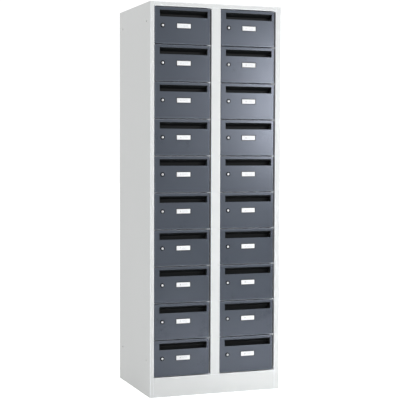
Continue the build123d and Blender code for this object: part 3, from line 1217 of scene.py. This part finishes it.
# Cam: a stamped plate with a round boss and a rounded end, held by a screw with a crossed recess.
def makeCam():
    half, boss, tip = lock["camWidth"] / 2, lock["camBoss"], lock["camTip"]
    start = math.asin(half / boss)
    outline = arc(lockAxis.xz, boss, start - math.pi / 2, math.tau - 2 * start, 24)
    for side in (-1, 1):
        corner = lockAxis.xz + Vector((side * (half - tip), tip - lock["camLength"]))
        outline += arc(corner, tip, math.pi * (1.25 + side / 4), math.pi / 2, 4)
    hole = lock["tenon"] / 2 + lock["running"]
    square = aroundLock(hole, hole, camY - 2, camBackY + 2)
    plate = worked(prism(outline, camY, camBackY), [square], edge=lock["camEdge"])
    rise = lock["screwHeight"]
    profile = [(lock["screwHead"] * wide, camBackY + rise * high) for wide, high in lock["screwDome"]]
    narrow, long = lock["screwSlit"]
    floor, above = camBackY + rise * lock["slitFloor"], camBackY + rise + 1
    cross = [aroundLock(narrow, long, floor, above), aroundLock(long, narrow, floor, above)]
    screw = worked(turnedPart(profile, lockAxis, steps=24), cross, edge=0)
    return joined([plate, screw])


doorParts = [
    ("doorPanel", makeDoorPanel(), [doorPaint], "door_anthracite"),
    ("letterGuard", makeGuard(), [guardShadedPaint], "door_anthracite"),
    ("hingeBushes", makeBushes(), [bushNylon], "bush_plastic"),
    ("cardHolder", makeHolder(), [holderPlastic], "bumper_rubber"),
    # The housing wears the nickel laid near black as painted shade.
    ("lockHousing", makeHousing(), [shadedNickel], "lock_metal"),
    ("lockNut", makeNut(), [zincPlate], "lock_metal"),
]
lockParts = [
    ("keyPlug", makePlug(), [brightNickel, shadedNickel], "lock_metal"),
    ("lockCam", makeCam(), [zincPlate], "lock_metal"),
]
for name, mesh, materials, slot in doorParts + lockParts:
    if slot == "lock_metal":
        markTurning(mesh, lockAxis)


def makeDoor(column, row):
    tag = f"{columns[column]}_{row:02d}"
    shift = Vector((column * columnPitch, 0, (1 - row) * rowPitch))
    nameCard = ("nameCard", makeCard(column * len(rows) + row), [cardPaper, cardInk], "name_card")
    for kind, parts in (("door", [*doorParts, nameCard]), ("lock", lockParts)):
        body = f"{kind}_{tag}"
        for name, mesh, materials, slot in parts:
            stoodFor = [body] if name in ("doorPanel", "keyPlug") else []
            finishedPiece(f"{name}_{tag}", moved(mesh, shift), materials, body, stoodFor)


for column in range(len(columns)):
    for row in rows:
        makeDoor(column, row)
print("doors and locks made")


studio = {
    "floorHalf": 30.0,
    "floorGlow": 0.6,      # keeps the floor pale in the camera's own view
    "skyLeft": 1.03,
    "skyRight": 0.80,
    "skySeen": 1.1,        # plain white behind the cabinet
    "lampColour": (0.96, 0.98, 1.0),
}


def makeFloor():
    work = bmesh.new()
    bmesh.ops.create_grid(work, x_segments=4, y_segments=4, size=studio["floorHalf"])
    floor = linked("floor", toMesh("floor", work))
    material = makeGrained(
        "floorPale",
        finish((0.83, 0.83, 0.83), (0.87, 0.87, 0.87), clouds=1.0, roughness=(0.8, 0.9), peel=60.0),
        bump=0.00001,
        Emission_Color=(1.0, 1.0, 1.0, 1.0),
    )
    tree = material.node_tree
    seen = addNode(tree, "ShaderNodeLightPath").outputs["Is Camera Ray"]
    glow = times(tree, seen, studio["floorGlow"])
    tree.links.new(glow, tree.nodes["Principled BSDF"].inputs["Emission Strength"])
    floor.data.materials.append(material)


# An even sky, a little dimmer towards the right. The camera itself sees it plain white.
def makeSky():
    world = bpy.data.worlds.new("studio")
    world.use_nodes = True
    tree = world.node_tree
    towards = addNode(tree, "ShaderNodeTexCoord").outputs["Generated"]
    across = addNode(tree, "ShaderNodeSeparateXYZ", {"Vector": towards}).outputs["X"]
    level = remap(tree, across, -1.0, 1.0, studio["skyLeft"], studio["skyRight"])
    seen = addNode(tree, "ShaderNodeLightPath").outputs["Is Camera Ray"]
    strength = maths(tree, "MAXIMUM", level, times(tree, seen, studio["skySeen"]))
    background = tree.nodes["Background"]
    background.inputs["Color"].default_value = (1.0, 1.0, 1.0, 1.0)
    tree.links.new(strength, background.inputs["Strength"])
    bpy.context.scene.world = world


lamps = {
    "overhead": {"place": (0, -1.5, 4.5), "aim": (0, -0.9, 0), "size": (4.0, 4.0), "power": 32.0},
    "nearFloor": {
        "place": (0.6, -1.3, 3.0), "aim": (0.6, -1.3, 0), "size": (1.1, 1.1), "power": 13.0, "spread": 40,
    },
    "softbox": {
        "place": (1.33, -2.25, 1.43), "aim": (0.25, -0.25, 1.35), "size": (0.35, 0.8), "power": 18.4,
    },
}


def makeLamp(name, place, aim, size, power, spread=180):
    data = bpy.data.lights.new(name, "AREA")
    data.shape = "RECTANGLE"
    data.size, data.size_y = size
    data.energy = power
    data.color = studio["lampColour"]
    data.spread = math.radians(spread)
    lamp = linked(name, data)
    lamp.location = place
    lamp.rotation_euler = (Vector(aim) - Vector(place)).to_track_quat("-Z", "Y").to_euler()
    lamp.visible_camera = False


camera = {
    "lens": 102.0,
    "place": (-1.8664, -5.135, 1.1344),
    "turnRight": 20.08,  # degrees
    "tiltDown": 2.56,
    "roll": 0.18,
}


def makeCamera():
    data = bpy.data.cameras.new("camera")
    data.lens = camera["lens"]
    data.sensor_width = 36.0
    eye = linked("camera", data)
    eye.location = camera["place"]
    aimed = Matrix.Identity(3)
    turns = ((-camera["turnRight"], "Z"), (90 - camera["tiltDown"], "X"), (camera["roll"], "Z"))
    for degrees, axis in turns:
        aimed = aimed @ Matrix.Rotation(math.radians(degrees), 3, axis)
    eye.rotation_euler = aimed.to_euler()
    bpy.context.scene.camera = eye
    bpy.context.scene.view_settings.view_transform = "Standard"


makeFloor()
makeSky()
for name, values in lamps.items():
    makeLamp(name, **values)
makeCamera()
print("floor, light and camera made")
